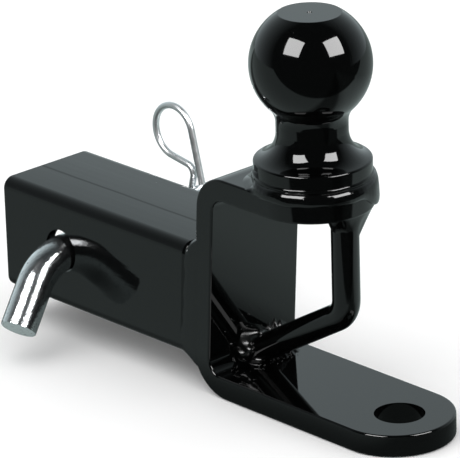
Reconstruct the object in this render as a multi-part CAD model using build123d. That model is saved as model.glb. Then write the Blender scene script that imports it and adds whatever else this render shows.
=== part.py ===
from build123d import *
import os
from math import acos, atan2, cos, pi, radians, sin, sqrt, tan

# A three-way trailer hitch: a hollow square shank that slides into a 2 inch receiver, a plate
# bracket bent to a C, a 2 inch tow ball welded on its short upper tongue, a long lower tongue
# with a hole for a loose ball or a clevis pin, and a bent round bar that braces the ball.
# A cranked hitch pin crosses the shank and a hairpin clip keeps the pin in.
#
# Frame, in millimetres: origin where the hitch pin's axis crosses the shank's axis,
# +X along the shank towards the tongues, +Z up, so +Y completes the right-handed set.

# ---- driving dimensions ----
# Shank, a square tube of 2 inches
TUBE_SIDE = 50.8
TUBE_WALL = 4.7625           # 3/16 inch
TUBE_CORNER_R = 5.0          # outside corner of the rolled tube
TUBE_INNER_R = 2.0           # inside corner
TUBE_OPEN_END = 37.0         # from the pin holes back to the open end
TUBE_END_BREAK = 0.8         # rounding of the open end's outer edge
PIN_HOLE_RISE = 1.1          # holes' axis above the pin's, as the pin hangs low in them

# Bracket, one plate with two bends
PLATE_T = 9.525              # 3/8 inch
PLATE_W = 50.8
PLATE_EDGE_R = 0.9           # rolled or dressed edge of the plate
WEB_BACK_X = 84.9            # web's back face at the height of the shank's axis
WEB_LEAN = 4.0               # degrees that the web's top leans towards the tongues
UPPER_TOP_Z = 59.8           # top face of the upper tongue
LOWER_TOP_Z = -29.4          # top face of the lower tongue
BEND_INNER_R = 6.35
UPPER_BEND_R = 16.0          # outside of the upper bend
LOWER_BEND_R = 19.0          # outside of the lower bend
LOWER_END_CENTRE_X = 177.2   # centre of the lower tongue's round end
HOLE_X = 180.2               # hole of the lower tongue
HOLE_D = 21.2

# Tow ball, a 2 inch ball on a collar
BALL_D = 50.8
BALL_X = 132.3
BALL_CENTRE_Z = 110.9
BALL_FLAT_D = 26.4           # flat on top of the ball
BALL_FLAT_BREAK = 0.5
CENTRE_MARK_D = 2.2          # lathe centre in the flat
CENTRE_MARK_DEPTH = 1.2
NECK_D = 30.0
NECK_UNDER_BALL_R = 9.0      # fillet between neck and ball
COLLAR_D = 49.2
COLLAR_H = 10.6
COLLAR_EDGE_R = 0.9
FLARE_R = 12.0               # hollow between neck and collar
SPIGOT_D = 19.05             # 3/4 inch locating spigot under the collar
SPIGOT_LENGTH = 6.5

# Brace, a 12 mm round bar
BAR_D = 11.8
BAR_BEHIND_BALL = 18.0       # from the ball's axis out to the bar's upright run
BAR_CORNER_Z = 6.4           # height where the two runs' centre lines would cross
BAR_SLOPE = 30.5             # degrees that the lower run falls towards the web
BAR_BEND_R = 11.0

# Welds
SHANK_WELD_LEG = 8.0         # along the shank
SHANK_WELD_RISE = 5.0        # up and down the web
SHANK_GROOVE_DEPTH = 4.5     # bevel cut into the end of the tube
BALL_WELD_RISE = 3.9
BALL_WELD_REACH = 3.7        # outwards from the collar
BALL_WELD_DROP = 2.4         # how far the bead laps over the plate's edge
HEAD_WELD_LEG = 4.5
HEAD_WELD_DROP = 9.0
HEAD_WELD_OUT = 2.0          # bead's centre off the bar's axis, away from the web
HEAD_WELD_ASIDE = 3.5        # and towards +Y, the side it was welded from
FOOT_WELD_LEG = 6.0
FOOT_WELD_RUN = 11.0

# Hitch pin, a 5/8 inch bar with a cranked handle
PIN_D = 15.875
PIN_CLIP_BEYOND = 34.6       # clip hole's distance beyond the shank's far side
PIN_END_GAP = 11.0           # from the clip hole to the end of the pin
PIN_CRANK_BEYOND = 9.7       # where handle and shaft would cross, beyond the near side
PIN_HANDLE = 33.3            # from there to the end of the handle
PIN_CRANK = 50.0             # degrees
PIN_BEND_R = 28.0
PIN_TIP_CHAMFER = 2.2
PIN_HANDLE_CHAMFER = 0.5
PIN_ROLL = 14.0              # degrees that the pin and its clip stand turned in the shank

# Hairpin clip, bent from spring wire
WIRE_D = 3.1
CLIP_HOLE_GAP = 0.45         # all round the wire in the pin's clip hole
CLIP_EYE_R = 11.8            # centre line of the eye
CLIP_EYE_HEIGHT = 32.5       # eye's centre above the pin's axis
CLIP_LEG_BELOW = 21.0        # straight leg's end below the pin's axis
CLIP_EYE_FLAT = 0.3          # short straight between two rounds of the eye
CLIP_ENTRY_TURN = 67.0       # degrees that the eye's last round turns towards the waist
CLIP_WAIST_SIDE = 2.6        # the waist's corner, sideways from the straight leg
CLIP_WAIST_R = 4.2
CLIP_TAIL_BEND = 9.0         # below the pin's axis, where the tail starts to spread
CLIP_TAIL_R = 8.0
CLIP_TAIL_BELOW = 17.0       # sprung leg's end below the pin's axis
CLIP_TAIL_FLARE = 2.6        # sideways spread of that end
WIRE_END_CHAMFER = 0.5

# ---- clearances ----
PIN_HOLE_CLEARANCE = 3.175   # the cross holes' diameter over the pin's, 1/8 inch
SPIGOT_GAP = 0.15            # all round the spigot in the upper tongue
CLIP_PIN_GAP = 0.12          # between the sprung leg and the pin

# ---- derived values ----
LEAN_TAN = tan(radians(WEB_LEAN))
WEB_T_X = PLATE_T / cos(radians(WEB_LEAN))
PIN_HOLE_D = PIN_D + PIN_HOLE_CLEARANCE
UPPER_UNDER_Z = UPPER_TOP_Z - PLATE_T
LOWER_UNDER_Z = LOWER_TOP_Z - PLATE_T
PLATE_END_R = PLATE_W / 2
LOWER_END_X = LOWER_END_CENTRE_X + PLATE_END_R
UPPER_END_X = BALL_X + PLATE_END_R
BAR_X = BALL_X + BAR_BEHIND_BALL
PIN_CORNER_Y = TUBE_SIDE / 2 + PIN_CRANK_BEYOND
PIN_CLIP_Y = TUBE_SIDE / 2 + PIN_CLIP_BEYOND
PIN_TIP_Y = PIN_CLIP_Y + PIN_END_GAP
WIDE = 4 * PLATE_W           # size of cutting solids, wider than anything they cut


def web_back(z):
    """X of the web's back face at height z."""
    return WEB_BACK_X + LEAN_TAN * z


def web_front(z):
    """X of the web's front face at height z."""
    return web_back(z) + WEB_T_X


def side_profile(points, width):
    """A closed outline in the XZ plane, pushed out evenly to both sides of y = 0."""
    outline = make_face(Plane.XZ * Polyline(*points, close=True))
    return extrude(outline, amount=width / 2, both=True)


def rounded_bar(side, corner_r, x_from, x_to):
    """A square bar along X with rounded long edges."""
    section = Plane.YZ.offset(x_from) * RectangleRounded(side, side, corner_r)
    return extrude(section, amount=x_to - x_from)


def behind_web():
    """Everything on the shank's side of the web's back face."""
    return side_profile([(-WIDE, -WIDE), (web_back(-WIDE), -WIDE),
                         (web_back(WIDE), WIDE), (-WIDE, WIDE)], WIDE)


def weld_frame_plane(distance):
    """A plane parallel to the web's back face, this far behind it; its own x is Y."""
    lean = radians(WEB_LEAN)
    back_face = Plane(origin=(WEB_BACK_X, 0, 0), x_dir=(0, 1, 0),
                      z_dir=(cos(lean), 0, -sin(lean)))
    return back_face.offset(-distance)


def weld_root_outline(width, height):
    """A rounded rectangle about the shank's axis, on the plane of the web's back face."""
    return weld_frame_plane(0) * RectangleRounded(width, height, TUBE_CORNER_R)


def weld_solid(width, height):
    """From the tube's own outline at the weld's toe to this outline at the web."""
    toe_shift = -SHANK_WELD_LEG * LEAN_TAN
    toe = weld_frame_plane(SHANK_WELD_LEG) * Pos(0, toe_shift) * RectangleRounded(
        TUBE_SIDE, TUBE_SIDE, TUBE_CORNER_R)
    root = weld_root_outline(width, height)
    run_on = extrude(root, amount=PLATE_T / 2, dir=(1, 0, -LEAN_TAN))
    return loft([toe, root]) + run_on


def make_shank_weld(bracket):
    """Bead all round the tube: a filled groove at the sides, fillets above and below.

    It runs on past the plane of the web, so that below it follows the bracket's bend.
    """
    left = TUBE_SIDE - 2 * SHANK_GROOVE_DEPTH
    block = weld_solid(TUBE_SIDE, TUBE_SIDE + 2 * SHANK_WELD_RISE)
    return block - weld_solid(left, left) - bracket


def make_shank_tube(weld):
    """Hollow square tube with two pin holes, its end bevelled for the weld."""
    far = web_back(TUBE_SIDE)
    outer = rounded_bar(TUBE_SIDE, TUBE_CORNER_R, -TUBE_OPEN_END, far)
    outer = fillet(outer.faces().sort_by(Axis.X)[0].edges(), TUBE_END_BREAK)
    bore = TUBE_SIDE - 2 * TUBE_WALL
    inner = rounded_bar(bore, TUBE_INNER_R, -WIDE, WIDE)
    tube = (outer - inner) & behind_web()
    tube -= Pos(0, 0, PIN_HOLE_RISE) * Rot(90, 0, 0) * Cylinder(PIN_HOLE_D / 2, 2 * TUBE_SIDE)
    return tube - weld


def bracket_corners():
    """Sharp corners of the C's side view, before its bends are rounded."""
    return {
        "upper_outer": (web_back(UPPER_TOP_Z), UPPER_TOP_Z),
        "lower_outer": (web_back(LOWER_UNDER_Z), LOWER_UNDER_Z),
        "lower_inner": (web_front(LOWER_TOP_Z), LOWER_TOP_Z),
        "upper_inner": (web_front(UPPER_UNDER_Z), UPPER_UNDER_Z),
    }


def bend(solid, corner, radius):
    """Round the edge that runs across the plate at this corner of the side view."""
    across = solid.edges().filter_by(Axis.Y)
    edge = across.sort_by_distance(Vector(corner[0], 0, corner[1]))[0]
    return fillet(edge, radius)


def make_bracket():
    """Plate bent to a C with half-round tongue ends and its two holes."""
    corners = bracket_corners()
    blank = side_profile([
        (UPPER_END_X, UPPER_TOP_Z), corners["upper_outer"], corners["lower_outer"],
        (LOWER_END_X, LOWER_UNDER_Z), (LOWER_END_X, LOWER_TOP_Z), corners["lower_inner"],
        corners["upper_inner"], (UPPER_END_X, UPPER_UNDER_Z)], PLATE_W)
    blank = bend(blank, corners["upper_outer"], UPPER_BEND_R)
    blank = bend(blank, corners["lower_outer"], LOWER_BEND_R)
    blank = bend(blank, corners["lower_inner"], BEND_INNER_R)
    blank = bend(blank, corners["upper_inner"], BEND_INNER_R)
    blank -= tongue_end_waste(BALL_X, 0, WIDE)
    blank -= tongue_end_waste(LOWER_END_CENTRE_X, -WIDE, 0)
    blank = fillet(outline_edges(blank), PLATE_EDGE_R)
    spigot_hole = Pos(BALL_X, 0, UPPER_TOP_Z) * Cylinder(SPIGOT_D / 2 + SPIGOT_GAP, 3 * PLATE_T)
    pin_hole = Pos(HOLE_X, 0, LOWER_TOP_Z) * Cylinder(HOLE_D / 2, 3 * PLATE_T)
    return blank - spigot_hole - pin_hole


def tongue_end_waste(centre_x, z_from, z_to):
    """What is cut away to leave a half-round end about centre_x."""
    height = z_to - z_from
    block = Pos(centre_x + WIDE / 2, 0, z_from + height / 2) * Box(WIDE, 2 * PLATE_W, height)
    keep = Pos(centre_x, 0, z_from + height / 2) * Cylinder(PLATE_END_R, height)
    return block - keep


def outline_edges(solid):
    """The two long rims of the plate, where its broad faces meet its cut side."""
    def on_side(edge):
        box = edge.bounding_box()
        flat_in_y = box.size.Y < 0.01 and abs(abs(box.center().Y) - PLATE_W / 2) < 0.01
        round_end = edge.geom_type == GeomType.CIRCLE and box.size.Z < 0.01
        return flat_in_y or round_end
    return [edge for edge in solid.edges() if on_side(edge)]


def ball_seam_height(radius):
    """How far below the ball's centre its surface has this radius."""
    return sqrt((BALL_D / 2) ** 2 - radius ** 2)


def make_tow_ball():
    """Turned in one piece: ball with a flat, neck, hollow flare, collar and spigot."""
    ball_r = BALL_D / 2
    neck_r = NECK_D / 2
    collar_r = COLLAR_D / 2
    flat_r = BALL_FLAT_D / 2
    collar_top = UPPER_TOP_Z + COLLAR_H
    # the flare is an arc tangent to the neck and ending at the collar's edge
    across = collar_r - neck_r
    flare_drop = sqrt(FLARE_R ** 2 - (FLARE_R - across) ** 2)
    flare_top = collar_top + flare_drop
    turn = across / FLARE_R
    mid_angle = 0.5 * (1 - turn)
    mid = (neck_r + FLARE_R - FLARE_R * sqrt(1 - mid_angle ** 2),
           flare_top - FLARE_R * mid_angle)
    flat_z = BALL_CENTRE_Z + ball_seam_height(flat_r)
    seam_z = BALL_CENTRE_Z - ball_seam_height(neck_r)
    profile = Polyline((0, flat_z), (flat_r, flat_z))
    profile += ThreePointArc((flat_r, flat_z), (ball_r, BALL_CENTRE_Z), (neck_r, seam_z))
    profile += Line((neck_r, seam_z), (neck_r, flare_top))
    profile += ThreePointArc((neck_r, flare_top), mid, (collar_r, collar_top))
    profile += Polyline((collar_r, collar_top), (collar_r, UPPER_TOP_Z),
                        (SPIGOT_D / 2, UPPER_TOP_Z),
                        (SPIGOT_D / 2, UPPER_TOP_Z - SPIGOT_LENGTH),
                        (0, UPPER_TOP_Z - SPIGOT_LENGTH), (0, flat_z))
    ball = revolve(make_face(Plane.XZ * profile), Axis.Z)
    ball = round_circle(ball, flat_r, flat_z, BALL_FLAT_BREAK)
    ball = round_circle(ball, neck_r, seam_z, NECK_UNDER_BALL_R)
    ball = round_circle(ball, collar_r, collar_top, COLLAR_EDGE_R)
    mark = Pos(0, 0, flat_z - CENTRE_MARK_DEPTH / 2) * Cone(0.2, CENTRE_MARK_D / 2,
                                                          CENTRE_MARK_DEPTH)
    return Pos(BALL_X, 0, 0) * (ball - mark)


def round_circle(solid, radius, z, by):
    """Round the circular edge of this radius about the Z axis at height z."""
    def wanted(edge):
        box = edge.bounding_box()
        return abs(box.max.X - radius) < 0.01 and abs(box.center().Z - z) < 0.01
    return fillet([e for e in solid.edges() if wanted(e) and e.length > radius], by)


def make_ball_weld(bracket):
    """Fillet bead round the collar that laps over the tongue's round end."""
    collar_r = COLLAR_D / 2
    toe = (collar_r + BALL_WELD_REACH, UPPER_TOP_Z - BALL_WELD_DROP)
    top = (collar_r, UPPER_TOP_Z + BALL_WELD_RISE)
    crown = (collar_r + 0.62 * BALL_WELD_REACH, UPPER_TOP_Z + 0.5 * BALL_WELD_RISE)
    foot = (collar_r, UPPER_TOP_Z - 2 * BALL_WELD_DROP)
    profile = ThreePointArc(top, crown, toe) + Polyline(toe, foot, top)
    ring = Pos(BALL_X, 0, 0) * revolve(make_face(Plane.XZ * profile), Axis.Z)
    return ring - bracket


def make_ball_plug_weld():
    """Weld metal that fills the upper tongue's hole below the spigot."""
    bottom = UPPER_UNDER_Z + 0.3
    top = UPPER_TOP_Z - SPIGOT_LENGTH
    return Pos(BALL_X, 0, (bottom + top) / 2) * Cylinder(SPIGOT_D / 2 + SPIGOT_GAP,
                                                        top - bottom)


def bracket_mouth():
    """The room inside the C, its corners rounded as the bends are."""
    corners = bracket_corners()
    room = side_profile([corners["lower_inner"], corners["upper_inner"],
                         (LOWER_END_X, UPPER_UNDER_Z), (LOWER_END_X, LOWER_TOP_Z)], WIDE)
    room = bend(room, corners["lower_inner"], BEND_INNER_R)
    return bend(room, corners["upper_inner"], BEND_INNER_R)


def bar_direction():
    """Unit direction, in X and Z, up the brace's lower run."""
    return cos(radians(BAR_SLOPE)), sin(radians(BAR_SLOPE))


def bar_foot():
    """Where the lower run's centre line meets the web's front face, as x, z."""
    run_x, run_z = bar_direction()
    slope = run_z / run_x
    z = (BAR_CORNER_Z - slope * (BAR_X - WEB_BACK_X - WEB_T_X)) / (1 - slope * LEAN_TAN)
    return web_front(z), z


def make_brace_bar(mouth):
    """Round bar from under the ball, bent back down to the corner of the C."""
    run_x, run_z = bar_direction()
    foot_x, foot_z = bar_foot()
    beyond = BAR_D
    path = FilletPolyline((BAR_X, 0, UPPER_UNDER_Z + beyond), (BAR_X, 0, BAR_CORNER_Z),
                          (foot_x - beyond * run_x, 0, foot_z - beyond * run_z),
                          radius=BAR_BEND_R)
    section = Plane(path @ 0, z_dir=path % 0) * Circle(BAR_D / 2)
    return sweep(section, path=path) & mouth


def make_head_weld(bar, mouth):
    """Lopsided lump of weld where the bar meets the upper tongue's underside."""
    base = Plane.XY.offset(UPPER_UNDER_Z) * Pos(
        BAR_X + HEAD_WELD_OUT, HEAD_WELD_ASIDE) * Circle(BAR_D / 2 + HEAD_WELD_LEG)
    toe = Plane.XY.offset(UPPER_UNDER_Z - HEAD_WELD_DROP) * Pos(BAR_X, 0) * Circle(BAR_D / 2)
    under_tongue = Pos(BALL_X, 0, 0) * Cylinder(PLATE_END_R + 0.5, WIDE)
    return (loft([base, toe]) & under_tongue & mouth) - bar


def make_foot_weld(bar, mouth):
    """Heavy bead round the bar in the corner of the C."""
    run_x, run_z = bar_direction()
    foot_x, foot_z = bar_foot()
    axis_plane = Plane(origin=(foot_x, 0, foot_z), z_dir=(run_x, 0, run_z))
    base_r = BAR_D / 2 + FOOT_WELD_LEG
    cone = axis_plane * Pos(0, 0, FOOT_WELD_RUN / 2) * Cone(base_r, BAR_D / 2, FOOT_WELD_RUN)
    tail = axis_plane * Pos(0, 0, -FOOT_WELD_LEG) * Cylinder(base_r, 2 * FOOT_WELD_LEG)
    return ((cone + tail) & mouth) - bar


def rolled(shape):
    """Turn a shape of the pin or clip about the pin's axis to where it stands."""
    return Rot(0, -PIN_ROLL, 0) * shape


def make_hitch_pin():
    """Round bar along Y, its near end cranked down, with a cross hole for the clip."""
    crank = radians(PIN_CRANK)
    handle_end = (0, -PIN_CORNER_Y - PIN_HANDLE * cos(crank), -PIN_HANDLE * sin(crank))
    path = FilletPolyline((0, PIN_TIP_Y, 0), (0, -PIN_CORNER_Y, 0), handle_end,
                          radius=PIN_BEND_R)
    section = Plane(path @ 0, z_dir=path % 0) * Circle(PIN_D / 2)
    pin = sweep(section, path=path)
    ends = pin.faces().filter_by(GeomType.PLANE).sort_by(Axis.Y)
    pin = chamfer(ends[-1].edges(), PIN_TIP_CHAMFER)
    ends = pin.faces().filter_by(GeomType.PLANE).sort_by(Axis.Y)
    pin = chamfer(ends[0].edges(), PIN_HANDLE_CHAMFER)
    clip_hole = Pos(0, PIN_CLIP_Y, 0) * Cylinder(WIRE_D / 2 + CLIP_HOLE_GAP, 2 * PIN_D)
    return rolled(pin - clip_hole)


def clip_over_pin():
    """Distance of the sprung leg's centre line from the pin's axis where it passes it."""
    return (PIN_D + WIRE_D) / 2 + CLIP_PIN_GAP


def clip_route():
    """Corners of the clip's centre line and the round at each.

    Each corner is (along, side): height above the pin's axis along the straight leg, and
    distance sideways from that leg.  The eye is three equal rounds of a square corner each.
    """
    over = clip_over_pin()
    turn = radians(CLIP_ENTRY_TURN)
    eye_top = CLIP_EYE_HEIGHT + CLIP_EYE_R
    eye_side = 2 * CLIP_EYE_R + CLIP_EYE_FLAT
    entry = CLIP_EYE_HEIGHT - CLIP_EYE_R * tan(turn / 2) - CLIP_EYE_FLAT
    waist = entry - (eye_side - CLIP_WAIST_SIDE) / tan(turn)
    # the line from the waist touches a circle of radius `over` about the pin's axis, and
    # the next corner lies where it meets the tail's line, which touches that circle too
    reach = sqrt(waist ** 2 + CLIP_WAIST_SIDE ** 2)
    touch = atan2(CLIP_WAIST_SIDE, waist) + acos(over / reach)
    shoulder = over * tan((pi / 2 - touch) / 2)
    corners = [
        ((-CLIP_LEG_BELOW, 0), None),
        ((eye_top, 0), CLIP_EYE_R),
        ((eye_top, eye_side), CLIP_EYE_R),
        ((entry, eye_side), CLIP_EYE_R),
        ((waist, CLIP_WAIST_SIDE), CLIP_WAIST_R),
        ((shoulder, over), over),
        ((-CLIP_TAIL_BEND, over), CLIP_TAIL_R),
        ((-CLIP_TAIL_BELOW, over + CLIP_TAIL_FLARE), None),
    ]
    return corners


def make_hairpin_clip():
    """Wire in one plane: straight leg through the pin, round eye, sprung leg over the pin."""
    corners = clip_route()
    points = [(-side, PIN_CLIP_Y, along) for (along, side), round_r in corners]
    radii = [round_r for place, round_r in corners if round_r is not None]
    path = FilletPolyline(*points, radius=radii)
    section = Plane(path @ 0, z_dir=path % 0) * Circle(WIRE_D / 2)
    clip = sweep(section, path=path)
    ends = clip.faces().filter_by(GeomType.PLANE)
    return rolled(chamfer([edge for end in ends for edge in end.edges()], WIRE_END_CHAMFER))


def write(shape, name):
    """Save one node."""
    export_step(shape, f"parts/{name}.step")


if __name__ == "__main__":
    os.makedirs("parts", exist_ok=True)
    bracket = make_bracket()
    mouth = bracket_mouth()
    bar = make_brace_bar(mouth)
    shank_weld = make_shank_weld(bracket)
    write(make_shank_tube(shank_weld), "shank_tube")
    write(bracket, "tongue_bracket")
    write(make_tow_ball(), "tow_ball")
    write(bar, "brace_bar")
    write(shank_weld, "shank_weld")
    write(make_ball_weld(bracket), "ball_weld")
    write(make_ball_plug_weld(), "ball_plug_weld")
    write(make_head_weld(bar, mouth), "brace_head_weld")
    write(make_foot_weld(bar, mouth), "brace_foot_weld")
    write(make_hitch_pin(), "hitch_pin")
    write(make_hairpin_clip(), "hairpin_clip")
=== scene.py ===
# %% [markdown]
# # A three-way trailer hitch, painted gloss black
# The CAD parts of the hitch come in as the frame, in metres, with the shank along X and the
# ball up.  This lesson sets the camera and the studio, gives every part its finish, and models
# the weld beads as surfaces of their own, because a real bead is lumpy where CAD's is plain.

# %% Load the frame
import bpy
import numpy as np
from mathutils import Matrix, Vector


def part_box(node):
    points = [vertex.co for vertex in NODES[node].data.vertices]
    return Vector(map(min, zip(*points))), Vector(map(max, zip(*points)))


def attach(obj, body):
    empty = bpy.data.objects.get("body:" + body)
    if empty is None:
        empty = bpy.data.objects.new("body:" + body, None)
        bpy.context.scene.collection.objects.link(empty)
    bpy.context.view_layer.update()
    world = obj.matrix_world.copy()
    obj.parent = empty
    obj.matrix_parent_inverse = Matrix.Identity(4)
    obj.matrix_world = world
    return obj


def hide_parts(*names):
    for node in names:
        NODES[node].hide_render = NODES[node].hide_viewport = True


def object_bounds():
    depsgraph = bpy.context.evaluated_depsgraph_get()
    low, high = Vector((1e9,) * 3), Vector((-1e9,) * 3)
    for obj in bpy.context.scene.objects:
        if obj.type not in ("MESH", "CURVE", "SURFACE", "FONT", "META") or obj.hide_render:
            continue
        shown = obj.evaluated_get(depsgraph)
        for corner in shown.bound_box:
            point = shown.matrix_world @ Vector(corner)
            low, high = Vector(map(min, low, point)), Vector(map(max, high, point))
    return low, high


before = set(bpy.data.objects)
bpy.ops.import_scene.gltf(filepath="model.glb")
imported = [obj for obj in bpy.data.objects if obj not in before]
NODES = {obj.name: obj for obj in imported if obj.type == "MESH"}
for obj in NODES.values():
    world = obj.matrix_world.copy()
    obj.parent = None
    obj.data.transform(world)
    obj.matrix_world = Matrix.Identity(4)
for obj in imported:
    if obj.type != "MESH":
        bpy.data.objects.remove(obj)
CAD_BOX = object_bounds()
MM = 0.001
print("parts:", sorted(NODES))

# %% [markdown]
# ## Camera
# A hitch is best shown from far away with a long lens, so that its edges stay nearly parallel.
# The camera stands in front of the ball's side and a little above it.  It could be aimed with a
# constraint, but three unit vectors say exactly how it is turned.

# %% Camera
CAMERA_PLACE = Vector((1.29685258, -1.1151532, 0.66531763))
CAMERA_RIGHT = Vector((0.68375777, 0.72915114, -0.02852951))
CAMERA_UP = Vector((-0.24575047, 0.26691218, 0.93186082))
CAMERA_BACK = Vector((0.68708225, -0.63015593, 0.36169251))
LENS_MM = 329.0866
SENSOR_MM = 36
FARTHEST_SEEN = 100


def make_camera():
    """A camera whose axes are the three unit vectors above."""
    camera = bpy.data.objects.new("camera", bpy.data.cameras.new("camera"))
    bpy.context.scene.collection.objects.link(camera)
    turn = Matrix((CAMERA_RIGHT, CAMERA_UP, CAMERA_BACK)).transposed().to_4x4()
    turn.translation = CAMERA_PLACE
    camera.matrix_world = turn
    camera.data.lens = LENS_MM
    camera.data.sensor_width = SENSOR_MM
    camera.data.clip_end = FARTHEST_SEEN
    return camera


bpy.context.scene.camera = make_camera()
bpy.context.scene.view_settings.view_transform = "Standard"
print("camera at", tuple(round(v, 3) for v in CAMERA_PLACE))

# %% [markdown]
# ## Node helpers
# Every finish below is a small graph of nodes.  `Graph` wires them by name, so a material reads
# as a list of sentences.  All patterns use Object coordinates, which are metres on the part.


# %% A short way to write nodes
class Graph:
    """A node tree with short words for adding nodes and joining sockets."""

    def __init__(self, tree):
        self.tree = tree

    def add(self, kind, inputs=None, **settings):
        """A node of this kind; inputs maps a socket's name or number to a value or a socket."""
        node = self.tree.nodes.new(kind)
        for key, value in settings.items():
            setattr(node, key, value)
        for key, value in (inputs or {}).items():
            if isinstance(value, bpy.types.NodeSocket):
                self.tree.links.new(value, node.inputs[key])
            else:
                node.inputs[key].default_value = value
        return node

    def math(self, operation, a, b=0.0):
        """The result of one arithmetic node."""
        return self.add("ShaderNodeMath", {0: a, 1: b}, operation=operation).outputs[0]

    def dot(self, vector, direction):
        """The length of vector along a fixed direction."""
        return self.add("ShaderNodeVectorMath", {0: vector, 1: direction},
                        operation="DOT_PRODUCT").outputs["Value"]

    def ramp(self, value, low, high, at_low=0.0, at_high=1.0):
        """A smooth step of value from low to high."""
        node = self.add("ShaderNodeMapRange", {0: value, 1: low, 2: high, 3: at_low, 4: at_high},
                        interpolation_type="SMOOTHSTEP")
        return node.outputs[0]

    def blend(self, factor, first, second):
        """A colour that goes from first to second as factor goes from 0 to 1."""
        return self.add("ShaderNodeMix", {0: factor, 6: first, 7: second},
                        data_type="RGBA").outputs[2]

    def place(self):
        """The Object coordinates of the piece, in metres."""
        return self.add("ShaderNodeTexCoord").outputs["Object"]

    def along_y(self, place):
        """The Y of a place."""
        return self.add("ShaderNodeSeparateXYZ", {0: place}).outputs["Y"]

    def noise(self, place, size_mm, detail=2.0, rough=0.5, w=0.0):
        """Noise whose lumps are about size_mm across."""
        node = self.add("ShaderNodeTexNoise", {"Vector": place, "Scale": 1.0 / (size_mm * MM),
                                               "Detail": detail, "Roughness": rough, "W": w},
                        noise_dimensions="4D")
        return node.outputs[0]

    def stretched(self, place, x, y, z):
        """Object coordinates scaled on each axis."""
        return self.add("ShaderNodeMapping", {"Vector": place, "Scale": (x, y, z)}).outputs[0]

    def bump(self, height, depth_mm, under=None):
        """A bumped normal for a height of 0 to 1 times depth_mm."""
        inputs = {"Strength": 1.0, "Distance": depth_mm * MM, "Height": height}
        if under is not None:
            inputs["Normal"] = under
        return self.add("ShaderNodeBump", inputs).outputs[0]

    def is_mirror(self):
        """1 for a ray that left a glossy surface, 0 for any other."""
        return self.add("ShaderNodeLightPath").outputs["Is Glossy Ray"]


def new_material(name):
    """An empty material, its graph and its Principled shader."""
    material = bpy.data.materials.new(name)
    material.use_nodes = True
    return material, Graph(material.node_tree), material.node_tree.nodes["Principled BSDF"]


print("node helpers ready")

# %% [markdown]
# ## The room
# Gloss black shows almost nothing but what it mirrors, so the studio is most of the picture: two
# square softboxes high in front, a pale room behind and beside, and darkness above and in front.
# What the camera sees is only a plain pale floor.  The world is therefore told apart by ray:
# mirror rays see the dark and pale zones, and every other ray sees an even white.

# %% World
DARK = 0.035
PALE = 0.86
DARK_UNTIL = 0.25
PALE_FROM = -0.85
EVEN_WHITE = 1.05
WHITE = (1, 1, 1, 1)
ROOM_TINT = (0.84, 0.97, 1.0, 1)


def make_world():
    """Mirror rays: pale where the direction leans away from the camera, else dark."""
    world = bpy.data.worlds.new("studio")
    bpy.context.scene.world = world
    world.use_nodes = True
    g = Graph(world.node_tree)
    direction = g.add("ShaderNodeTexCoord").outputs["Generated"]
    facing = g.dot(direction, tuple(CAMERA_BACK))
    mirrored = g.add("ShaderNodeMapRange",
                     {0: facing, 1: DARK_UNTIL, 2: PALE_FROM, 3: DARK, 4: PALE}).outputs[0]
    is_mirror = g.is_mirror()
    level = g.add("ShaderNodeMix", {0: is_mirror, 2: EVEN_WHITE, 3: mirrored}).outputs[0]
    background = world.node_tree.nodes["Background"]
    world.node_tree.links.new(level, background.inputs["Strength"])
    world.node_tree.links.new(g.blend(is_mirror, WHITE, ROOM_TINT), background.inputs["Color"])


make_world()
print("world set")

# %% [markdown]
# ## Softboxes
# The two bright squares on the ball and the streaks on the welds are the softboxes.  Planes that
# glow would do, but area lights make less noise.  They light nothing diffuse, because the even
# white world already does that; a weak sun, hidden from mirrors, helps to shade the floor.

# %% Softboxes
SOFTBOXES = {
    "softbox_left": {"place": (0.2285, -1.4636, 1.4705), "width_axis": (0.9955, 0.0888, 0.0326),
                     "height_axis": (-0.0843, 0.6769, 0.7312), "size": (1.11, 1.06)},
    "softbox_right": {"place": (1.6637, 0.3939, 1.3356), "width_axis": (-0.1595, 0.9791, -0.1261),
                      "height_axis": (-0.6264, -0.0017, 0.7795), "size": (1.12, 1.04)},
}
SOFTBOX_RADIANCE = 12.5
TOP_LIGHT_STRENGTH = 0.6
TOP_LIGHT_ANGLE = 0.9
TOP_LIGHT_TURN = (0.35, -0.25, 0.0)


def make_softbox(name, place, width_axis, height_axis, size):
    """An area light from its centre and two edge directions; power = radiance x area x pi."""
    light = bpy.data.lights.new(name, "AREA")
    light.shape = "RECTANGLE"
    light.size, light.size_y = size
    light.energy = SOFTBOX_RADIANCE * size[0] * size[1] * np.pi
    lamp = bpy.data.objects.new(name, light)
    bpy.context.scene.collection.objects.link(lamp)
    across = Vector(width_axis).normalized()
    away = across.cross(Vector(height_axis)).normalized()
    turn = Matrix((across, away.cross(across), away)).transposed().to_4x4()
    turn.translation = Vector(place)
    lamp.matrix_world = turn
    lamp.visible_diffuse = False
    return lamp


def make_top_light():
    """A wide, weak sun from above that mirrors don't show."""
    sun = bpy.data.objects.new("soft_top_light", bpy.data.lights.new("soft_top_light", "SUN"))
    bpy.context.scene.collection.objects.link(sun)
    sun.data.energy = TOP_LIGHT_STRENGTH
    sun.data.angle = TOP_LIGHT_ANGLE
    sun.rotation_euler = TOP_LIGHT_TURN
    sun.visible_glossy = False
    return sun


for box_name, box_facts in SOFTBOXES.items():
    make_softbox(box_name, **box_facts)
top_light = make_top_light()
print("lights:", [*SOFTBOXES, top_light.name])
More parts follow.
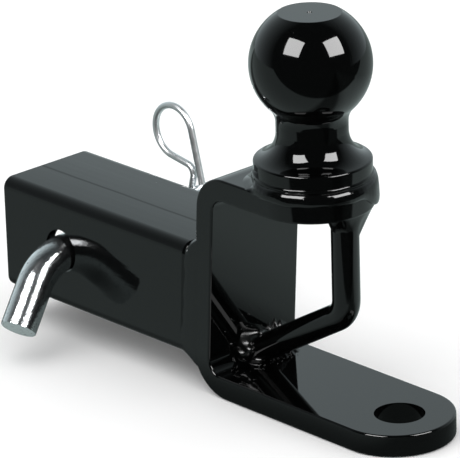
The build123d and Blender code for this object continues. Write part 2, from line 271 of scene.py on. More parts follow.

# %% [markdown]
# ## Floor
# The floor is a wide sheet just under the lower tongue.  A mirror ray meets a painted glow, dimmer
# than the floor the eye sees: a painted shadow close to the hitch, brightening to both sides, and a
# straight front edge, which draws the sharp lower border of the dark patch on the ball.

# %% Floor
FLOOR_Z = CAD_BOX[0][2] - 0.175 * MM
FLOOR_SIDE = 8.0
FLOOR_WHITE = (0.95, 0.95, 0.95, 1)
FLOOR_ROUGHNESS = 0.9
FLOOR_GLOW_TINT = (0.84, 1.0, 0.98, 1)
FRONT_DIRECTION = (0.89, -0.46, 0.0)
FRONT_EDGE = (0.275, 0.255)
BEYOND_FRONT = 0.10
NEAR_BAND = (0.03, 0.10)
NEAR_GLOW = 0.37
SIDE_GLOW = 0.62
FAR_BAND = (0.12, 0.40)
FAR_SHARE = 0.62
SHADED_BAND = (0.028, 0.055)
SHADED_SHARE = 0.30


def floor_glow(g):
    """Painted glow: product of the near-to-side step, the far step, the painted shadow under the
    hitch and the front.
    """
    place = g.place()
    paper = g.ramp(g.dot(place, FRONT_DIRECTION), *FRONT_EDGE, BEYOND_FRONT, 1.0)
    y = g.along_y(place)
    side = g.ramp(y, *NEAR_BAND, NEAR_GLOW, SIDE_GLOW)
    far = g.ramp(y, *FAR_BAND, 1.0, FAR_SHARE)
    # painted shadow of the hitch on the floor, darker close to it, as the paint's mirrors see it
    painted_shadow = g.ramp(g.math("ABSOLUTE", y), *SHADED_BAND, SHADED_SHARE, 1.0)
    level = g.math("MULTIPLY", g.math("MULTIPLY", side, far), painted_shadow)
    strength = g.math("MULTIPLY", level, paper)
    # the strength is painted light: for mirror rays the floor glows instead of being lit
    return g.add("ShaderNodeEmission", {"Color": FLOOR_GLOW_TINT, "Strength": strength}).outputs[0]


def make_floor_material():
    """Matt white to the eye, and a grey painted glow, with a painted shadow, in the paint's
    reflections.
    """
    material, g, shader = new_material("floor")
    shader.inputs["Base Color"].default_value = FLOOR_WHITE
    shader.inputs["Roughness"].default_value = FLOOR_ROUGHNESS
    mixed = g.add("ShaderNodeMixShader", {0: g.is_mirror(), 1: shader.outputs[0],
                                          2: floor_glow(g)}).outputs[0]
    g.tree.links.new(mixed, g.tree.nodes["Material Output"].inputs[0])
    return material


def make_floor():
    """A flat square of 2 x 2 faces."""
    line = np.linspace(-FLOOR_SIDE / 2, FLOOR_SIDE / 2, 3)
    x, y = np.meshgrid(line, line, indexing="ij")
    points = np.stack([x, y, np.full_like(x, FLOOR_Z)], axis=-1)
    index = np.arange(points[..., 0].size).reshape(x.shape)
    faces = np.stack([index[:-1, :-1], index[1:, :-1], index[1:, 1:], index[:-1, 1:]], axis=-1)
    mesh = bpy.data.meshes.new("floor")
    mesh.from_pydata(points.reshape(-1, 3).tolist(), [], faces.reshape(-1, 4).tolist())
    mesh.materials.append(make_floor_material())
    floor = bpy.data.objects.new("floor", mesh)
    bpy.context.scene.collection.objects.link(floor)
    return floor


make_floor()
print("floor at", round(FLOOR_Z, 5))

# %% [markdown]
# ## Gloss black paint
# The hitch is powder coated.  The coat is black, mirrors like still water, and ripples slightly,
# which painters call orange peel.  A few specks of dust sit under it.  The black is in the base
# colour, the gloss in low roughness, and the ripple and the specks are shallow bumps.

# %% Paint
PAINT_BLACK = (0.0009, 0.0010, 0.0010, 1)
PAINT_IOR = 1.5
PEEL_MM = 2.2
PEEL_DEPTH_MM = 0.0035
DUST_PER_METRE = 130.0
DUST_EDGE = 0.07
DUST_DEPTH_MM = 0.08
DUSTY_AREA_MM = 31.0
SMEAR_MM = 14.0
SMEAR_SHARE = 1.7
WAVE_MM = 24.0


def paint_shader(g, shader, wave_mm, wave_depth_mm, roughness):
    """Set the paint's own values, then add broad waves, orange peel and dust specks."""
    shader.inputs["Base Color"].default_value = PAINT_BLACK
    shader.inputs["IOR"].default_value = PAINT_IOR
    place = g.place()
    waves = g.bump(g.noise(place, wave_mm, 1.0), wave_depth_mm)
    peel = g.bump(g.noise(place, PEEL_MM), PEEL_DEPTH_MM, waves)
    cells = g.add("ShaderNodeTexVoronoi", {"Vector": place, "Scale": DUST_PER_METRE})
    dusty = g.ramp(g.noise(place, DUSTY_AREA_MM, 0.0, w=3.0), 0.56, 0.64)
    dust = g.math("MULTIPLY", g.ramp(cells.outputs["Distance"], DUST_EDGE, 0.0), dusty)
    smear = g.ramp(g.noise(place, SMEAR_MM, 3.0, w=7.0), 0.35, 0.75,
                   roughness, roughness * SMEAR_SHARE)
    g.tree.links.new(smear, shader.inputs["Roughness"])
    specks = g.bump(dust, DUST_DEPTH_MM, peel)
    g.tree.links.new(specks, shader.inputs["Normal"])
    return place, specks


def make_paint():
    """Gloss black on plate, ball and bar."""
    material, g, shader = new_material("black_paint")
    paint_shader(g, shader, WAVE_MM, 0.020, 0.035)
    return material


PAINT = make_paint()
print("paint:", PAINT.name)

# %% [markdown]
# ## Tube paint
# The shank is a rolled tube.  Its own weld seam runs along the top, a hair off the middle, faint
# drawing lines run beside it, and the flat bows down a little towards its rolled near edge.  All
# three show through the paint, and they are too shallow for geometry, so they are bumps.

# %% Tube paint
SEAM_Y = -4.0 * MM
SEAM_HALF_WIDTH = 0.8 * MM
SEAM_DEPTH_MM = 0.14
SEAM_WANDER = 1.2 * MM
CROWN_END_Y = 12.0 * MM
CROWN_WIDTH = 32.0 * MM
CROWN_DROP_MM = 1.1
STREAK_MM = 2.6
STREAK_DEPTH_MM = 0.035
STREAK_STRETCH = 0.03


def make_tube_paint():
    """The paint with a bowed near edge, a seam step at one y, and streaks stretched along X."""
    material, g, shader = new_material("tube_paint")
    place, base = paint_shader(g, shader, WAVE_MM, 0.012, 0.03)
    y = g.along_y(place)
    outwards = g.math("DIVIDE", g.math("SUBTRACT", CROWN_END_Y, y), CROWN_WIDTH)
    fall = g.math("POWER", g.math("MAXIMUM", outwards, 0.0), 2.0)
    crowned = g.bump(g.math("MULTIPLY", fall, -1.0), CROWN_DROP_MM, base)
    wander = g.math("MULTIPLY", g.noise(g.stretched(place, 1, 0, 0), 30.0, w=5.0), SEAM_WANDER)
    off = g.math("SUBTRACT", g.math("SUBTRACT", y, SEAM_Y), wander)
    seamed = g.bump(g.ramp(off, -SEAM_HALF_WIDTH, SEAM_HALF_WIDTH), SEAM_DEPTH_MM, crowned)
    streaks = g.noise(g.stretched(place, STREAK_STRETCH, 1.0, 1.0), STREAK_MM)
    streaked = g.bump(streaks, STREAK_DEPTH_MM, seamed)
    g.tree.links.new(streaked, shader.inputs["Normal"])
    return material


TUBE_PAINT = make_tube_paint()
print("tube paint:", TUBE_PAINT.name)

# %% [markdown]
# ## Zinc plate on the pin
# The pin is a drawn steel bar with bright zinc on it.  The plating copies the bar's own fine
# pitting, so the edge of a reflection wavers although its middle stays clear, and the zinc has
# dulled in patches.  A few darker spots in its colour are painted shade in the pits.

# %% Zinc
ZINC_DULL = (0.80, 0.83, 0.86, 1)
ZINC_FRESH = (0.92, 0.93, 0.93, 1)
# dark colour of the painted shade in the pits
ZINC_PIT_SHADE = (0.30, 0.32, 0.35, 1)
PIT_MM = 0.9
PIT_DEPTH_MM = 0.085
DENT_MM = 2.4
DENT_DEPTH_MM = 0.060
ZINC_ROUGHNESS = (0.13, 0.20)


def make_zinc():
    """Bright metal with pits of about a millimetre, soft dents, dull patches and painted pit shade.
    """
    material, g, shader = new_material("zinc_plate")
    shader.inputs["Metallic"].default_value = 1.0
    place = g.place()
    pits = g.bump(g.noise(place, PIT_MM), PIT_DEPTH_MM)
    dents = g.bump(g.noise(place, DENT_MM), DENT_DEPTH_MM, pits)
    haze = g.ramp(g.noise(place, 5.0, 3.0, w=2.0), 0.3, 0.7, *ZINC_ROUGHNESS)
    dulled = g.blend(g.noise(place, 8.0, 3.0, w=4.0), ZINC_DULL, ZINC_FRESH)
    # dark spots the size of the pits, painted into the colour as the shade that falls in them
    painted_pit_shade = g.ramp(g.noise(place, PIT_MM, 2.0, 0.6, w=6.0), 0.60, 0.68)
    g.tree.links.new(haze, shader.inputs["Roughness"])
    g.tree.links.new(g.blend(painted_pit_shade, dulled, ZINC_PIT_SHADE), shader.inputs["Base Color"])
    g.tree.links.new(dents, shader.inputs["Normal"])
    return material


ZINC = make_zinc()
print("pin finish:", ZINC.name)

# %% [markdown]
# ## Spring wire
# The clip is bent from bright drawn wire.  It is smoother than the pin but not as glossy, so its
# thin round section reads as an even pale line with soft shading.

# %% Clip wire
WIRE_COLOUR = (0.86, 0.88, 0.89, 1)
WIRE_ROUGHNESS = (0.32, 0.42)
WIRE_LUMP_MM = 0.8
WIRE_LUMP_DEPTH_MM = 0.004


def make_wire():
    """Bright drawn wire with fine lumps."""
    material, g, shader = new_material("clip_wire")
    shader.inputs["Base Color"].default_value = WIRE_COLOUR
    shader.inputs["Metallic"].default_value = 1.0
    place = g.place()
    haze = g.ramp(g.noise(place, 3.0, 3.0), 0.3, 0.7, *WIRE_ROUGHNESS)
    lumps = g.bump(g.noise(place, WIRE_LUMP_MM), WIRE_LUMP_DEPTH_MM)
    g.tree.links.new(haze, shader.inputs["Roughness"])
    g.tree.links.new(lumps, shader.inputs["Normal"])
    return material


WIRE = make_wire()
print("clip finish:", WIRE.name)

# %% [markdown]
# ## Dress the CAD parts
# The tube, the plate, the ball, the bar, the pin and the clip have their right shape already, so
# they stay as they are and only their material slots change.

# %% Give the CAD parts their finishes
FINISHES = {
    "shank_tube": TUBE_PAINT, "tongue_bracket": PAINT, "tow_ball": PAINT, "brace_bar": PAINT,
    "hitch_pin": ZINC, "hairpin_clip": WIRE,
}
for node_name, finish in FINISHES.items():
    for material_slot in NODES[node_name].material_slots:
        material_slot.material = finish
print("finished:", len(FINISHES), "CAD parts")

# %% [markdown]
# ## Wander and steps
# No weld is even.  A bead's width, height and edge wander as the hand moves, so each of them gets
# a repeatable wave that joins up with itself after one turn.


# %% Waves and steps
def wave(turns, seed, lowest, highest):
    """A smooth repeatable wander of about -1 to 1: sines of whole numbers, with mixed phases."""
    counts = np.arange(lowest, highest + 1)
    rng = np.random.default_rng(seed)
    phases = rng.uniform(0, 2 * np.pi, counts.size)
    weights = rng.uniform(0.5, 1.0, counts.size) / np.sqrt(counts.size)
    angle = 2 * np.pi * np.asarray(turns)[..., None] * counts + phases
    return (np.sin(angle) * weights).sum(axis=-1)


def smoothstep(x, low, high):
    """0 below low, 1 above high, and a smooth S between."""
    t = np.clip((x - low) / (high - low), 0, 1)
    return t * t * (3 - 2 * t)


print("a wave's first values:", wave(np.linspace(0, 1, 4), 1, 3, 16).round(2))

# %% [markdown]
# ## Surfaces from grids
# A weld bead is easiest as a grid of points: one parameter runs along the bead and the other
# round its section.  `grid_piece` joins the grid with quads, closes its ends if it has any, and
# turns the faces outwards if the enclosed volume comes out negative.  Faces travel as blocks,
# one array for each number of corners, so that shifting or repeating them is one sum.

# %% Grid to mesh
SHARP_ANGLE = np.radians(50)


def grid_faces(rows, cols, wrap_rows):
    """Corner numbers of the quads of a grid whose columns join up."""
    index = np.arange(rows * cols).reshape(rows, cols)
    lower = index if wrap_rows else index[:-1]
    upper = np.roll(index, -1, axis=0) if wrap_rows else index[1:]
    quads = np.stack([lower, np.roll(lower, -1, axis=1), np.roll(upper, -1, axis=1), upper], -1)
    return quads.reshape(-1, 4), index


def enclosed_volume(points, quads):
    """A sixth of the sum of corner triple products over both halves of every quad."""
    a, b, c, d = (points[quads[:, k]] for k in range(4))
    halves = np.einsum("ij,ij->i", a, np.cross(b, c)) + np.einsum("ij,ij->i", a, np.cross(c, d))
    return halves.sum() / 6


def closed_mesh(points, wrap_rows):
    """Points in one list, and blocks of faces: quads, then two ends if the rows don't join up."""
    quads, index = grid_faces(*points.shape[:2], wrap_rows)
    flat = points.reshape(-1, 3)
    blocks = [quads] if wrap_rows else [quads, np.stack([index[0][::-1], index[-1]])]
    if enclosed_volume(flat - flat.mean(axis=0), quads) < 0:
        blocks = [block[:, ::-1] for block in blocks]
    return flat, blocks


def joined(parts):
    """One mesh from several: points stacked, and each part's corner numbers shifted past the last."""
    starts = np.cumsum([0] + [len(points) for points, _ in parts[:-1]])
    blocks = [block + start for start, (_, own) in zip(starts, parts) for block in own]
    return np.vstack([points for points, _ in parts]), blocks


def grid_piece(name, points, material, wrap_rows=True, extra=()):
    """Mesh object from points (rows, columns, 3) in millimetres; extra holds more meshes."""
    flat, blocks = joined([closed_mesh(points, wrap_rows), *extra])
    faces = [face for block in blocks for face in block.tolist()]
    mesh = bpy.data.meshes.new(name)
    mesh.from_pydata((flat * MM).tolist(), [], faces)
    mesh.shade_smooth()
    mesh.set_sharp_from_angle(angle=SHARP_ANGLE)
    mesh.materials.append(material)
    piece = bpy.data.objects.new(name, mesh)
    bpy.context.scene.collection.objects.link(piece)
    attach(piece, "hitch")
    print(name, len(flat), "points", len(faces), "faces")
    return piece


# %% [markdown]
# ## Painted weld
# The coat lies over the welds as well, but scale and spatter under it leave the surface rougher
# than the plate.  The same paint is used with smaller lumps and a fine grit, and the foot of the
# brace, where most metal was laid, gets the roughest version.

# %% Weld paint
WELD_LUMP_MM = 6.0
GRIT_MM = 1.1


def make_weld_paint(name, lump_depth_mm, grit_depth_mm, roughness):
    """The paint over lumps of a few millimetres and a fine grit."""
    material, g, shader = new_material(name)
    place, base = paint_shader(g, shader, WELD_LUMP_MM, lump_depth_mm, roughness)
    grit = g.bump(g.noise(place, GRIT_MM, 3.0, 0.6), grit_depth_mm, base)
    g.tree.links.new(grit, shader.inputs["Normal"])
    return material


WELD_PAINT = make_weld_paint("painted_weld", 0.030, 0.006, 0.06)
FOOT_PAINT = make_weld_paint("painted_spatter", 0.040, 0.010, 0.16)
print("weld paints:", WELD_PAINT.name, FOOT_PAINT.name)

# %% [markdown]
# ## Where the welds sit
# Every bead starts on a CAD face, so its place is read from the frame and not typed again: the
# plate's top and edge, the tube's side, the bar's line.  From here on, lengths are millimetres.


# %% Sizes from the frame
def edge(node, corner, axis):
    """One side of a CAD node's box in millimetres: corner 0 is low and 1 is high."""
    return round(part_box(node)[corner][axis] / MM, 3)


TUBE_HALF = edge("shank_tube", 1, 1)
PLATE_R = edge("tongue_bracket", 1, 1)
UPPER_TOP = edge("tongue_bracket", 1, 2)
UPPER_UNDER = edge("brace_bar", 1, 2)
PLATE_T = UPPER_TOP - UPPER_UNDER
LOWER_TOP = edge("brace_bar", 0, 2)
LOWER_UNDER = edge("tongue_bracket", 0, 2)
BALL_X = (edge("ball_plug_weld", 0, 0) + edge("ball_plug_weld", 1, 0)) / 2
BAR_R = -edge("brace_bar", 0, 1)
BAR_X = edge("brace_bar", 1, 0) - BAR_R
print("plate", round(PLATE_T, 3), "ball at", BALL_X, "bar at", round(BAR_X, 3), "radius", BAR_R)

# %% [markdown]
# ## Bead round the ball's collar
# The collar is welded to the upper tongue all the way round.  Two passes lie on each other, so
# in front the section is a small roll above a big one that hangs over the plate's edge.  Where
# the plate goes on behind the collar, the bead is a hollow fillet on its top instead, and beside
# the brace the big roll laps down the whole edge.  A lathe gives only one section, so the section
# is worked out at every angle and blended between these three.

# %% Rolls of weld metal
COLLAR_R = 24.6
COLLAR_SINK = 0.9
BALL_RISE = 5.1
EDGE_DROP = 2.2
LAP_DROP = 6.6
LAP_ANGLE = np.radians(47)
LAP_SPREAD = np.radians(30)
TOP_REACH = 4.4
EDGE_PROUD = 0.12
FIRST_ROLL = 0.50
SECOND_ROLL = 1.95
HOLLOW = 1.15
BEAD_PITCH = 2.3


def roll(t, low, high, power):
    """A rounded step between low and high: (1 - |s|^power)^(1/power), s from -1 to 1 across it."""
    s = np.clip(2 * (t - low) / (high - low) - 1, -1, 1)
    return (1 - np.abs(s) ** power) ** (1 / power)


def even_arc(rows):
    """Steps from 0 to 1 that are fine at both ends, as the heights of even steps of a half turn."""
    return ((1 - np.cos(np.linspace(0, np.pi, rows))) / 2)[:, None]


def round_ball(radius, angle, height):
    """Points at a radius and an angle about the ball's axis."""
    return np.stack([BALL_X + radius * np.cos(angle), radius * np.sin(angle), height], axis=-1)


print("collar radius", COLLAR_R, "rolls", FIRST_ROLL, SECOND_ROLL)

# %% [markdown]
# The grid's columns go round the collar and its rows go down the section, from the toe on the
# collar to the toe on the plate.  The last three rows lie inside the joint and close the ring.


# %% Ball weld
def ball_weld_grid(cols=720, rows=64):
    """Section (radius, height) at each angle, closed through the hidden inside of the joint."""
    turns = np.arange(cols) / cols
    angle = 2 * np.pi * turns
    side = np.where(np.cos(angle) > 0, PLATE_R, PLATE_R / np.maximum(np.abs(np.sin(angle)), 0.3))
    on_top = smoothstep(side, PLATE_R + 0.2, PLATE_R + 3.4)
    lap = np.exp(-((angle - LAP_ANGLE) / LAP_SPREAD) ** 4)
    rise = BALL_RISE + 0.20 * wave(turns, 1, 3, 16)
    drop = EDGE_DROP + LAP_DROP * lap + 0.25 * wave(turns, 2, 3, 18)
    reach = TOP_REACH + 0.3 * wave(turns, 3, 3, 14)
    toe_r = (1 - on_top) * (PLATE_R + EDGE_PROUD) + on_top * (COLLAR_R + reach)
    toe_z = UPPER_TOP - (1 - on_top) * drop - on_top * 0.05
    split = (0.22 + 0.02 * wave(turns, 4, 3, 12)) * (1 - 0.45 * lap)
    t = even_arc(rows)
    first = FIRST_ROLL * roll(t, 0.0, split, 2.0)
    second = SECOND_ROLL * roll(t, split * 0.86, 1.0, 2.0 + 1.4 * lap)
    hollow = -HOLLOW * np.sin(np.pi * t) + 0.5 * roll(t, 0.0, 0.45, 2.0)
    out = (1 - on_top) * np.maximum(first, second) + on_top * hollow
    chain = np.round(PLATE_R * 2 * np.pi / BEAD_PITCH)
    ripple = 0.010 * np.cos(chain * angle + 5 * (t - 0.5) ** 2)
    ripple = ripple + 0.09 * wave(turns + 0.02 * t, 5, 5, 22)
    top_z = UPPER_TOP + rise
    radius = COLLAR_R - 0.02 + (toe_r - COLLAR_R) * t + out + ripple * np.sin(np.pi * t)
    height = top_z + (toe_z - top_z) * t + on_top * 0.6 * out
    sunk_r = np.full(cols, COLLAR_R - COLLAR_SINK)
    radius = np.concatenate([radius, np.stack([toe_r - 0.7, sunk_r, sunk_r])])
    height = np.concatenate([height, np.stack([toe_z, toe_z, top_z])])
    return round_ball(radius, angle, height)


ball_weld = grid_piece("ball_weld_bead", ball_weld_grid(), WELD_PAINT)
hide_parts("ball_weld")

# %% [markdown]
# ## Bead round the shank
# The tube's end is welded to the back of the bracket.  Above and below the tube there is room for
# a fillet; at the sides tube and plate are equally wide, so the groove was filled and ground
# flush.  The section is a chord between two toes with a bulge.  It follows a rounded square, and
# its rise and leg change with the direction.

# %% Outline and section of the shank's weld
TUBE_ROUND = 5.0
WEB_BACK_X = 84.9
WEB_LEAN = np.radians(4.0)
LEAN_TAN = np.tan(WEB_LEAN)
BEND_R = 19.0
TOP_RISE = 4.8
BOTTOM_RISE = 4.2
SHANK_LEG = 6.4
LOW_LEG_MORE = 2.4
SHANK_SINK = 1.5
WEB_SINK = 1.2
FLUSH_PROUD = 0.02
SHANK_CHAIN = 84


def web_back(z):
    """X of the bracket's back: the leaning flat, then the lower bend's arc below it."""
    flat = WEB_BACK_X + LEAN_TAN * z
    bend_start = LOWER_UNDER + BEND_R
    below = np.clip(bend_start - z, 0, BEND_R)
    return flat + BEND_R - np.sqrt(BEND_R ** 2 - below ** 2)


def rounded_square(half, corner, cols):
    """Points (y, z) and outward normals at equal steps along a rounded square's outline."""
    straight = 2 * (half - corner)
    arc = corner * np.pi / 2
    s = np.arange(cols) / cols * 4
    quarter = np.floor(s)
    along = (s - quarter) * (straight + arc)
    turn = np.clip(along - straight, 0, arc) / corner
    run = np.minimum(along, straight) - straight / 2
    local_y = run + corner * np.sin(turn)
    local_z = half - corner + corner * np.cos(turn)
    spin = -quarter * np.pi / 2
    y = local_y * np.cos(spin) - local_z * np.sin(spin)
    z = local_y * np.sin(spin) + local_z * np.cos(spin)
    tilt = spin - turn
    return y, z, -np.sin(tilt), np.cos(tilt)


def bead_skin(start, end, bulge, rows):
    """Chord plus bulge x sin(pi t) along its left normal, with t from 0 to 1 down the section."""
    t = np.linspace(0, 1, rows)[:, None, None]
    chord = end - start
    length = np.linalg.norm(chord, axis=-1, keepdims=True)
    normal = np.stack([-chord[..., 1], chord[..., 0]], axis=-1) / length
    shape = np.sin(np.pi * t ** 1.15) ** 1.1
    return start + chord * t + normal * (bulge[..., None] * shape), shape[..., 0]


print("web's back at the axis:", float(web_back(0.0)))

# %% [markdown]
# Each column is a section in the plane of X and the outline's normal.  Grinding it flush is one
# clip of Y, which leaves a flat side and a crisp corner, as the grinder does.


# %% Shank weld
def shank_weld_grid(cols=640, rows=26):
    """Fillet from a toe on the tube to a toe on the web, flush where the normal points sideways."""
    y, z, ny, nz = rounded_square(TUBE_HALF - 0.03, TUBE_ROUND, cols)
    turns = np.arange(cols) / cols
    top = smoothstep(nz, 0.05, 1.0)
    bottom = smoothstep(-nz, 0.05, 1.0)
    level = top + bottom
    rise = 0.04 + TOP_RISE * top + BOTTOM_RISE * bottom + 0.20 * wave(turns, 11, 4, 24) * level
    leg = SHANK_LEG + LOW_LEG_MORE * smoothstep(-z, 2, 26) + 0.35 * wave(turns, 12, 4, 34)
    start = np.stack([web_back(z) - leg, np.zeros(cols)], axis=-1)
    end = np.stack([web_back(z + nz * rise) + 0.25, rise], axis=-1)
    bulge = 0.06 + 0.45 * top - 0.35 * bottom + 0.10 * wave(turns, 13, 4, 24) * level
    skin, shape = bead_skin(start[None], end[None], bulge[None], rows)
    t = np.linspace(0, 1, rows)[:, None]
    ripple = 0.07 * np.cos(2 * np.pi * SHANK_CHAIN * turns + 6 * (t - 0.5) ** 2) * level
    skin[..., 1] += ripple * shape
    sunk = np.full(cols, -SHANK_SINK)
    inside_web = end + np.array([WEB_SINK, 0.0])
    inner = np.stack([inside_web, np.stack([inside_web[:, 0], sunk], -1),
                      np.stack([start[:, 0], sunk], -1)])
    section = np.concatenate([skin, inner])
    side = TUBE_HALF + FLUSH_PROUD
    flush_y = np.clip(y + ny * section[..., 1], -side, side)
    return np.stack([section[..., 0], flush_y, z + nz * section[..., 1]], axis=-1)


shank_weld = grid_piece("shank_weld_bead", shank_weld_grid(), WELD_PAINT)
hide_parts("shank_weld")

# %% [markdown]
# ## Lump at the brace's head
# The bar's upper end is welded under the tongue from the far side, so the weld is lopsided: it
# reaches out to the tongue's rim there, and is small on the near side.  Its skin runs from that
# outline in to the bar, hollow like a fillet, with a few lumps.

# %% Head weld
HEAD_HEAVY_ANGLE = np.radians(62)
HEAD_HEAVY_SPREAD = np.radians(62)
HEAD_REACH = 9.6
HEAD_HEAVY_MORE = 6.4
HEAD_DROP = 7.0
HEAD_DROP_MORE = 3.4
HEAD_SINK = 0.5
HEAD_CORE_R = 3.0
RIM_SOFTNESS = 2.5


def head_outline(turns, cos_a, sin_a, heavy):
    """Reach about the bar, held inside the tongue's rim by a soft minimum."""
    off = BAR_X - BALL_X
    rim = -off * cos_a + np.sqrt((PLATE_R - 0.1) ** 2 - (off * sin_a) ** 2)
    wanted = HEAD_REACH + HEAD_HEAVY_MORE * heavy + 0.5 * wave(turns, 21, 2, 9)
    return rim - np.logaddexp(0.0, RIM_SOFTNESS * (rim - wanted)) / RIM_SOFTNESS


def head_weld_grid(cols=200, rows=40):
    """Radius about the bar falls from an outline under the tongue to the bar along a hollow curve."""
    turns = np.arange(cols) / cols
    angle = 2 * np.pi * turns
    cos_a, sin_a = np.cos(angle), np.sin(angle)
    from_heavy = np.mod(angle - HEAD_HEAVY_ANGLE + np.pi, 2 * np.pi) - np.pi
    heavy = np.exp(-(from_heavy / HEAD_HEAVY_SPREAD) ** 4)
    outline = head_outline(turns, cos_a, sin_a, heavy)
    drop = HEAD_DROP + HEAD_DROP_MORE * heavy + 0.7 * wave(turns, 22, 2, 8)
    t = np.linspace(0, 1, rows)[:, None]
    hollow = (1 - t) ** (1.25 - 0.20 * heavy)
    lumps = 0.45 * wave(turns + 0.10 * t, 23, 2, 6) * np.sin(np.pi * t)
    radius = (BAR_R - 0.15) + (outline - BAR_R) * hollow + lumps
    height = UPPER_UNDER + HEAD_SINK - (drop + HEAD_SINK) * t
    core = np.full((1, cols), HEAD_CORE_R)
    radius = np.concatenate([core, radius, core])
    height = np.concatenate([np.full((1, cols), UPPER_UNDER + HEAD_SINK), height,
                             np.full((1, cols), UPPER_UNDER - 5.0)])
    return np.stack([BAR_X + radius * cos_a, radius * sin_a, height], axis=-1)


head_weld = grid_piece("brace_head_weld_lump", head_weld_grid(), WELD_PAINT)
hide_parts("brace_head_weld")

# %% [markdown]
# ## Heavy bead at the brace's foot
# The bar ends in the corner of the bracket, where two or three passes pile up round it.  The skin
# is lathed about the bar's own axis, its base buried in the plate, and its radius falls in two
# rolls from the plate to the bar.

# %% The bar's foot
BAR_SLOPE = np.radians(30.5)
BAR_SLOPE_TAN = np.tan(BAR_SLOPE)
BAR_CORNER_Z = 6.4
AXIS_UP = np.array([np.cos(BAR_SLOPE), 0.0, np.sin(BAR_SLOPE)])
AXIS_OVER = np.array([-np.sin(BAR_SLOPE), 0.0, np.cos(BAR_SLOPE)])
AXIS_SIDE = np.array([0.0, 1.0, 0.0])
WEB_FRONT_X = WEB_BACK_X + PLATE_T / np.cos(WEB_LEAN)
FOOT_Z = (BAR_CORNER_Z - BAR_SLOPE_TAN * (BAR_X - WEB_FRONT_X)) / (1 - BAR_SLOPE_TAN * LEAN_TAN)
FOOT = np.array([WEB_FRONT_X + LEAN_TAN * FOOT_Z, 0.0, FOOT_Z])
FOOT_BASE = 9.8
FOOT_RUN = 9.0
FOOT_SINK = 3.0


def foot_weld_grid(cols=240, rows=60):
    """Radius about the bar against height along it: two rolls, then in to the bar."""
    turns = np.arange(cols) / cols
    angle = 2 * np.pi * turns
    upward = np.cos(angle)
    base = FOOT_BASE + 2.5 * upward + 0.7 * wave(turns, 31, 2, 7)
    run = FOOT_RUN + 1.8 * wave(turns, 32, 2, 6) + 1.8 * upward
    t = np.linspace(0, 1, rows)[:, None]
    fall = np.sqrt(np.clip(1 - t ** 2.2, 0, 1))
    rolls = 0.7 * np.cos(2 * np.pi * (1.7 * t + 0.16 * wave(turns, 33, 1, 4))) * (1 - t)
    lumps = 0.50 * wave(turns + 0.3 * t, 34, 3, 9) * np.sin(np.pi * t)
    radius = (BAR_R - 0.15) + (base - BAR_R) * fall + rolls + lumps
    along = -FOOT_SINK + (run + FOOT_SINK) * t
    return (FOOT + along[..., None] * AXIS_UP
            + (radius * np.cos(angle))[..., None] * AXIS_OVER
            + (radius * np.sin(angle))[..., None] * AXIS_SIDE)


print("bar's foot at", FOOT.round(2))

# %% [markdown]
# ## A pass along the corner
# From the bar to the plate's far edge one more pass was laid in the bracket's inner corner.  Half
# of its section is the bulge that shows, and half is buried, so the mesh is closed.

# %% Corner pass
CORNER_LEG_UP = 9.5
CORNER_LEG_OUT = 9.0
CORNER_SINK = 4.0
CORNER_SHARE = 0.7


def corner_run(y_from, y_to, seed, rows=60, cols=40):
    """Section from the web to the tongue and back below, swelling from both of the run's ends."""
    u = np.linspace(0, 1, rows)[:, None]
    v = np.linspace(0, 1, cols, endpoint=False)[None]
    fade = np.sin(np.pi * np.clip(u, 0.02, 0.98)) ** 0.45
    wander = wave(u[:, 0], seed, 1, 7)[:, None]
    out = np.clip(v * 2, 0, 1)
    back = np.clip(v * 2 - 1, 0, 1)
    web_z = LOWER_TOP + 3.0 + (CORNER_LEG_UP + 1.0 * wander) * fade
    tongue_x = FOOT[0] + 3.0 + (CORNER_LEG_OUT + 1.2 * wander) * fade
    corner_x = WEB_FRONT_X + LEAN_TAN * web_z
    bow = np.sin(np.pi * out) * (1.1 + 0.3 * wave(u + 0.2 * out, seed + 1, 3, 11)) * fade
    skin_x = corner_x + (tongue_x - corner_x) * out ** 1.5 + 0.6 * bow
    skin_z = web_z + (LOWER_TOP - web_z) * (1 - (1 - out) ** 1.5) + 0.8 * bow
    sink = CORNER_SHARE * CORNER_SINK * np.sin(np.pi * back)
    x = np.where(v < 0.5, skin_x, tongue_x + (corner_x - tongue_x) * back - sink)
    z = np.where(v < 0.5, skin_z, LOWER_TOP + (web_z - LOWER_TOP) * back - sink)
    y = y_from + (y_to - y_from) * u + 0 * v
    return closed_mesh(np.stack([x, y, z], axis=-1), False)


CORNER_PASS = corner_run(2.0, 23.5, 51)
print("corner pass:", len(CORNER_PASS[0]), "points")

# %% [markdown]
# ## Spatter
# Drops that flew off while welding froze to the plate nearby, and the paint covers them.  They
# are half sunk and tiny, so a handful of faces each is enough, and one random generator with a
# fixed seed places them the same way every time.

# %% Spatter drops
SPATTER_SPREAD = 8.0
ON_WEB_SHARE = 0.75
DROP_MIN = 0.10
DROP_MEAN_STEP = 0.05


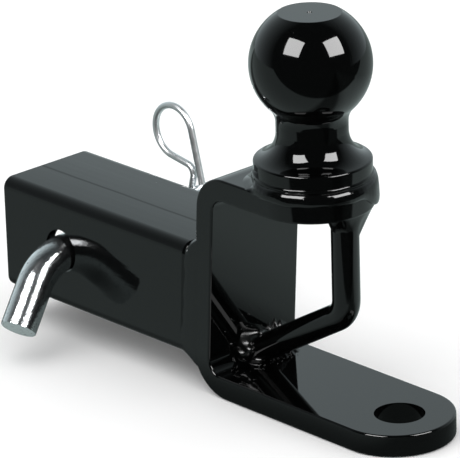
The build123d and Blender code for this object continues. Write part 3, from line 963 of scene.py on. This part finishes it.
def spatter(count, rows=5, cols=10):
    """Small half-sunk balls on the web's front and in the lower corner near the foot."""
    rng = np.random.default_rng(41)
    y = rng.normal(-2, SPATTER_SPREAD, count).clip(-21, 21)
    up = np.abs(rng.normal(3, SPATTER_SPREAD, count))
    web_z = FOOT_Z + 7 + up
    on_web = rng.random(count) < ON_WEB_SHARE
    centre = np.where(on_web[:, None],
                      np.stack([WEB_FRONT_X + LEAN_TAN * web_z, y, web_z], -1),
                      np.stack([FOOT[0] + 9 + 0.35 * up, y, np.full(count, LOWER_TOP)], -1))
    size = (rng.gamma(4.0, DROP_MEAN_STEP, count) + DROP_MIN)[:, None, None, None]
    lat = np.linspace(0.05, np.pi - 0.05, rows)[:, None]
    lon = (np.arange(cols) / cols * 2 * np.pi)[None]
    drop = np.stack([np.sin(lat) * np.cos(lon), np.sin(lat) * np.sin(lon),
                     np.cos(lat) * np.ones_like(lon)], axis=-1)
    points = centre[:, None, None, :] + size * drop[None]
    _, one_drop = closed_mesh(drop, False)
    shifts = (np.arange(count) * rows * cols)[:, None, None]
    blocks = [(block[None] + shifts).reshape(-1, block.shape[1]) for block in one_drop]
    return points.reshape(-1, 3), blocks


SPATTER = spatter(60)
print("spatter:", len(SPATTER[0]), "points")

# %% [markdown]
# The lump, the corner pass and the drops are one weld on the real object, so they become one
# piece that stands for the CAD's foot weld.

# %% Foot weld
foot_weld = grid_piece("brace_foot_weld_bead", foot_weld_grid(), FOOT_PAINT,
                       wrap_rows=False, extra=[CORNER_PASS, SPATTER])
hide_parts("brace_foot_weld")

# %% [markdown]
# ## Plug under the ball
# The ball's spigot is welded in from below.  Nothing shows of it but a shallow dome with the
# rings of a bead laid in a spiral, seen only from underneath.

# %% Plug weld
PLUG_R = 9.6
PLUG_DOME = 0.9
PLUG_SINK = 0.35
PLUG_BACK = 2.5
RING_HEIGHT = 0.12


def plug_weld_grid(cols=96, rows=40):
    """Dome of one turn: depth falls with radius squared, plus rings a bead's pitch apart."""
    angle = 2 * np.pi * np.arange(cols) / cols
    radius = np.linspace(PLUG_R, 0.25, rows)[:, None]
    rings = RING_HEIGHT * np.cos(2 * np.pi * radius / BEAD_PITCH + angle) * (radius < 9.0)
    height = UPPER_UNDER + PLUG_SINK - PLUG_DOME * (1 - (radius / PLUG_R) ** 2) + rings
    skin = round_ball(radius, angle, height)
    back = skin[:1].copy()
    back[..., 2] = UPPER_UNDER + PLUG_BACK
    return np.concatenate([back, skin])


plug_weld = grid_piece("ball_plug_weld_dome", plug_weld_grid(), WELD_PAINT,
                       wrap_rows=False)
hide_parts("ball_plug_weld")
